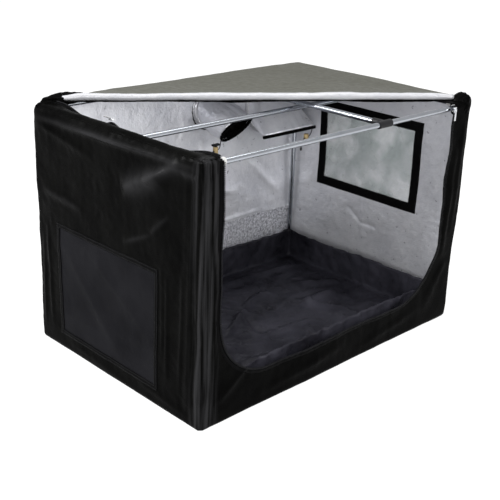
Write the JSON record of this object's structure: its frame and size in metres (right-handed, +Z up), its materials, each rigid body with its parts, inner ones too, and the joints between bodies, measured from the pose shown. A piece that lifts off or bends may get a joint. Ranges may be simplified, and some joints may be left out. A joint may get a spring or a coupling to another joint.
{
  "type": "printer enclosure tent",
  "caption": "Soft enclosure tent on a push-fit tube frame, with silver lining, window, mesh vent, duct socks, spill tray and folded-back zip door.",
  "frame": {"origin": "on the floor, under the middle of the tent", "axes": "+X to the right-hand side wall with the window, -Y to the open front, +Z up"},
  "size_m": [0.9028, 0.6068, 0.6159],
  "materials": {
    "black_cloth": "matte coated oxford weave",
    "tray_cloth": "matte crinkled coated weave",
    "silver_lining": "bright embossed metallised film on cloth",
    "binding_tape": "matte woven tape",
    "hook_tape": "matte hook tape",
    "mesh": "fine knitted netting",
    "clear_sheet": "clear flexible vinyl",
    "zip_teeth": "satin coil teeth",
    "steel_tube": "satin zinc-plated steel tube",
    "white_plastic": "satin moulded plastic",
    "black_plastic": "satin moulded plastic",
    "tan_plastic": "satin moulded plastic",
    "zip_metal": "polished zinc"
  },
  "bodies": {
    "tent": {"left_wall": "black_cloth", "right_wall": "black_cloth", "back_wall": "black_cloth", "floor_panel": "black_cloth", "roof_panel": "black_cloth", "roof_left_strip": "black_cloth", "front_left_strip": "black_cloth", "front_right_strip": "black_cloth", "front_sill": "black_cloth", "front_zip": "zip_teeth", "roof_zip": "zip_teeth", "corner_gather": "black_cloth", "vent_mesh": "mesh", "vent_tape": "black_cloth", "window_pane": "clear_sheet", "window_tape": "black_cloth", "window_hook_tapes": "hook_tape", "vent_hook_tapes": "hook_tape", "port_collar_small": "binding_tape", "port_collar_large": "binding_tape", "duct_sock_small": "silver_lining", "duct_sock_large": "silver_lining", "sock_hem_small": "binding_tape", "sock_hem_large": "binding_tape", "drawcord_small": "binding_tape", "drawcord_large": "binding_tape", "post_front_left": "steel_tube", "post_front_right": "steel_tube", "post_back_left": "steel_tube", "post_back_right": "steel_tube", "bottom_tube_front": "steel_tube", "bottom_tube_back": "steel_tube", "bottom_tube_left": "steel_tube", "bottom_tube_right": "steel_tube", "top_tube_left": "steel_tube", "top_tube_right": "steel_tube", "top_tubes_front": "steel_tube", "top_tubes_back": "steel_tube", "corner_connectors_bottom": "white_plastic", "corner_connectors_top": "white_plastic", "tee_connectors": "black_plastic", "cross_bar": "steel_tube"},
    "hanging_bar": {"hanging_bar": "steel_tube", "bar_clip_left": "black_plastic", "bar_clip_right": "black_plastic"},
    "spill_tray": {"spill_tray": "tray_cloth"},
    "window_cover": {"window_cover": "black_cloth"},
    "vent_cover": {"vent_cover": "silver_lining"},
    "door_flap": {"door_flap": "silver_lining"},
    "zip_slider_roof": {"zip_slider_roof": "zip_metal"},
    "zip_pull_roof": {"zip_pull_roof": "zip_metal"},
    "zip_slider_front": {"zip_slider_front": "zip_metal"},
    "zip_pull_front": {"zip_pull_front": "zip_metal"},
    "cord_lock_small": {"cord_lock_small": "tan_plastic"},
    "cord_lock_large": {"cord_lock_large": "tan_plastic"},
    "lock_plunger_small": {"lock_plunger_small": "black_plastic"},
    "lock_plunger_large": {"lock_plunger_large": "black_plastic"}
  },
  "joints": [
    {"name": "hanging_bar_slide", "type": "slide", "parent": "tent", "child": "hanging_bar", "axis": [0, 1, 0], "range_m": [-0.2, 0.2]},
    {"name": "spill_tray_lift", "type": "slide", "parent": "tent", "child": "spill_tray", "axis": [0, 0, 1], "range_m": [0, 0.12]},
    {"name": "window_cover_hinge", "type": "hinge", "parent": "tent", "child": "window_cover", "pos_m": [0.4514, 0, 0.518], "axis": [0, -1, 0], "range_deg": [0, 170]},
    {"name": "vent_cover_hinge", "type": "hinge", "parent": "tent", "child": "vent_cover", "pos_m": [-0.4474, 0.026, 0.334], "axis": [0, -1, 0], "range_deg": [0, 150]},
    {"name": "door_flap_fold", "type": "hinge", "parent": "tent", "child": "door_flap", "pos_m": [0, 0, 0.607], "axis": [0.8321, -0.5547, 0], "range_deg": [0, 180]},
    {"name": "roof_zip_travel", "type": "slide", "parent": "tent", "child": "zip_slider_roof", "axis": [0, 1, 0], "range_m": [-0.33, 0.05]},
    {"name": "roof_pull_swing", "type": "hinge", "parent": "zip_slider_roof", "child": "zip_pull_roof", "pos_m": [-0.404, 0.053, 0.6041], "axis": [1, 0, 0], "range_deg": [0, 180]},
    {"name": "front_zip_travel", "type": "slide", "parent": "tent", "child": "zip_slider_front", "axis": [0, 0, -1], "range_m": [0, 0.32]},
    {"name": "front_pull_swing", "type": "hinge", "parent": "zip_slider_front", "child": "zip_pull_front", "pos_m": [0.373, -0.3042, 0.586], "axis": [1, 0, 0], "range_deg": [-180, 0]},
    {"name": "cord_lock_small_travel", "type": "slide", "parent": "tent", "child": "cord_lock_small", "axis": [-1, 0, 0], "range_m": [0, 0.003]},
    {"name": "cord_lock_large_travel", "type": "slide", "parent": "tent", "child": "cord_lock_large", "axis": [-1, 0, 0], "range_m": [0, 0.002]},
    {"name": "lock_plunger_small_press", "type": "slide", "parent": "cord_lock_small", "child": "lock_plunger_small", "axis": [0, 0, -1], "range_m": [0, 0.0012], "stiffness_N_per_m": 300, "springref_m": -0.001},
    {"name": "lock_plunger_large_press", "type": "slide", "parent": "cord_lock_large", "child": "lock_plunger_large", "axis": [0, 0, 1], "range_m": [0, 0.0012], "stiffness_N_per_m": 300, "springref_m": -0.001}
  ]
}
